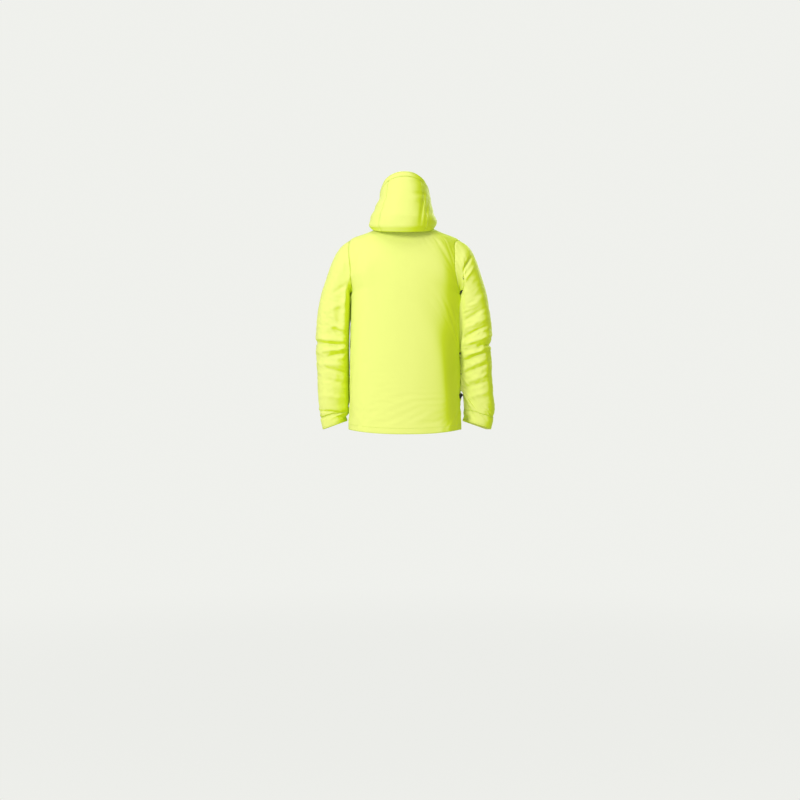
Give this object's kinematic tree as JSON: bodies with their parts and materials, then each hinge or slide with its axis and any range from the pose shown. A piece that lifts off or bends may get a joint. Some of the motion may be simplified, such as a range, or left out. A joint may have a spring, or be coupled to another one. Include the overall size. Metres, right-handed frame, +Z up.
{
  "type": "ski jacket",
  "caption": "Fluorescent yellow-green shell ski jacket with a hood standing behind the neck, stand-up collar, moulded-tooth zip, powder skirt and cuff tabs.",
  "frame": {"origin": "the middle of the hanger loop, inside the back of the neck", "axes": "+Z up, -Y out of the jacket's front, +X towards the wearer's left"},
  "size_m": [0.602, 0.3308, 0.913],
  "materials": {
    "shell_cloth": "fine plain weave, fluorescent yellow-green",
    "lining_cloth": "smooth dark lining",
    "hook_loop": "brushed loop pile",
    "fleece": "brushed micro fleece",
    "zip_tape": "woven tape",
    "moulded_rubber": "soft moulded, matt",
    "black_plastic": "moulded, matt",
    "zip_metal": "lacquered zinc, satin"
  },
  "bodies": {
    "jacket": {"back_panel": "shell_cloth", "front_panel_left": "shell_cloth", "front_panel_right": "shell_cloth", "collar_shell": "shell_cloth", "body_lining": "lining_cloth", "collar_lining": "lining_cloth", "hem_facing": "shell_cloth", "powder_skirt": "lining_cloth", "skirt_grip_band": "moulded_rubber", "skirt_snaps": "zip_metal", "sleeve_upper_left": "shell_cloth", "sleeve_upper_right": "shell_cloth", "forearm_left": "shell_cloth", "forearm_right": "shell_cloth", "cuff_left": "shell_cloth", "cuff_right": "shell_cloth", "sleeve_lining_left": "lining_cloth", "sleeve_lining_right": "lining_cloth", "cuff_loop_patches": "hook_loop", "front_zip_teeth": "black_plastic", "front_zip_tapes": "zip_tape", "front_zip_box": "black_plastic", "wind_flap": "shell_cloth", "chin_guard": "fleece", "hand_zip_left": "zip_tape", "hand_zip_right": "zip_tape", "chest_zip": "zip_tape", "hand_bag_left": "lining_cloth", "hand_bag_right": "lining_cloth", "chest_bag": "lining_cloth", "hanger_loop": "zip_tape", "hem_lock_left": "black_plastic", "hem_lock_right": "black_plastic"},
    "hood": {"hood_centre_panel": "shell_cloth", "hood_side_left": "shell_cloth", "hood_side_right": "shell_cloth", "hood_brim": "shell_cloth", "hood_lining": "lining_cloth"},
    "front_slider": {"front_zip_slider": "zip_metal"},
    "front_pull": {"front_zip_pull": "black_plastic"},
    "hand_slider_left": {"hand_slider_left": "zip_metal"},
    "hand_pull_left": {"hand_pull_left": "black_plastic"},
    "hand_slider_right": {"hand_slider_right": "zip_metal"},
    "hand_pull_right": {"hand_pull_right": "black_plastic"},
    "chest_slider": {"chest_slider": "zip_metal"},
    "chest_pull": {"chest_pull": "black_plastic"},
    "tab_left": {"cuff_tab_left": "shell_cloth"},
    "tab_right": {"cuff_tab_right": "shell_cloth"},
    "lock_button_left": {"hem_button_left": "black_plastic"},
    "lock_button_right": {"hem_button_right": "black_plastic"}
  },
  "joints": [
    {"name": "front_zip_slide", "type": "slide", "parent": "jacket", "child": "front_slider", "axis": [0, -0.0968, -0.9953], "range_m": [0, 0.682]},
    {"name": "front_pull_swing", "type": "hinge", "parent": "front_slider", "child": "front_pull", "pos_m": [0, -0.17419, -0.03017], "axis": [-1, 0, 0], "range_deg": [0, 150]},
    {"name": "hand_zip_slide_left", "type": "slide", "parent": "jacket", "child": "hand_slider_left", "axis": [0.0057, -0.0863, -0.9963], "range_m": [0, 0.149]},
    {"name": "hand_pull_swing_left", "type": "hinge", "parent": "hand_slider_left", "child": "hand_pull_left", "pos_m": [0.13287, -0.19484, -0.44249], "axis": [-0.8917, -0.4513, 0.034], "range_deg": [0, 150]},
    {"name": "hand_zip_slide_right", "type": "slide", "parent": "jacket", "child": "hand_slider_right", "axis": [-0.0057, -0.0863, -0.9963], "range_m": [0, 0.149]},
    {"name": "hand_pull_swing_right", "type": "hinge", "parent": "hand_slider_right", "child": "hand_pull_right", "pos_m": [-0.13287, -0.19484, -0.44249], "axis": [-0.8917, 0.4513, -0.034], "range_deg": [0, 150]},
    {"name": "chest_zip_slide", "type": "slide", "parent": "jacket", "child": "chest_slider", "axis": [0.0043, -0.0919, -0.9958], "range_m": [0, 0.109]},
    {"name": "chest_pull_swing", "type": "hinge", "parent": "chest_slider", "child": "chest_pull", "pos_m": [0.0968, -0.19451, -0.29898], "axis": [-0.9671, -0.2538, 0.0193], "range_deg": [0, 150]},
    {"name": "hood_tilt", "type": "hinge", "parent": "jacket", "child": "hood", "pos_m": [0, -0.08, -0.012], "axis": [1, 0, 0], "range_deg": [0, 35]},
    {"name": "cuff_tab_peel_left", "type": "hinge", "parent": "jacket", "child": "tab_left", "pos_m": [0.29555, -0.13117, -0.71958], "axis": [0.1057, 0.1247, 0.9865], "range_deg": [0, 70]},
    {"name": "cuff_tab_peel_right", "type": "hinge", "parent": "jacket", "child": "tab_right", "pos_m": [-0.29555, -0.13117, -0.71958], "axis": [0.1057, -0.1247, -0.9865], "range_deg": [0, 70]},
    {"name": "hem_button_press_left", "type": "slide", "parent": "jacket", "child": "lock_button_left", "axis": [0, 0, -1], "range_m": [0, 0.003], "stiffness_N_per_m": 300},
    {"name": "hem_button_press_right", "type": "slide", "parent": "jacket", "child": "lock_button_right", "axis": [0, 0, -1], "range_m": [0, 0.003], "stiffness_N_per_m": 300}
  ]
}
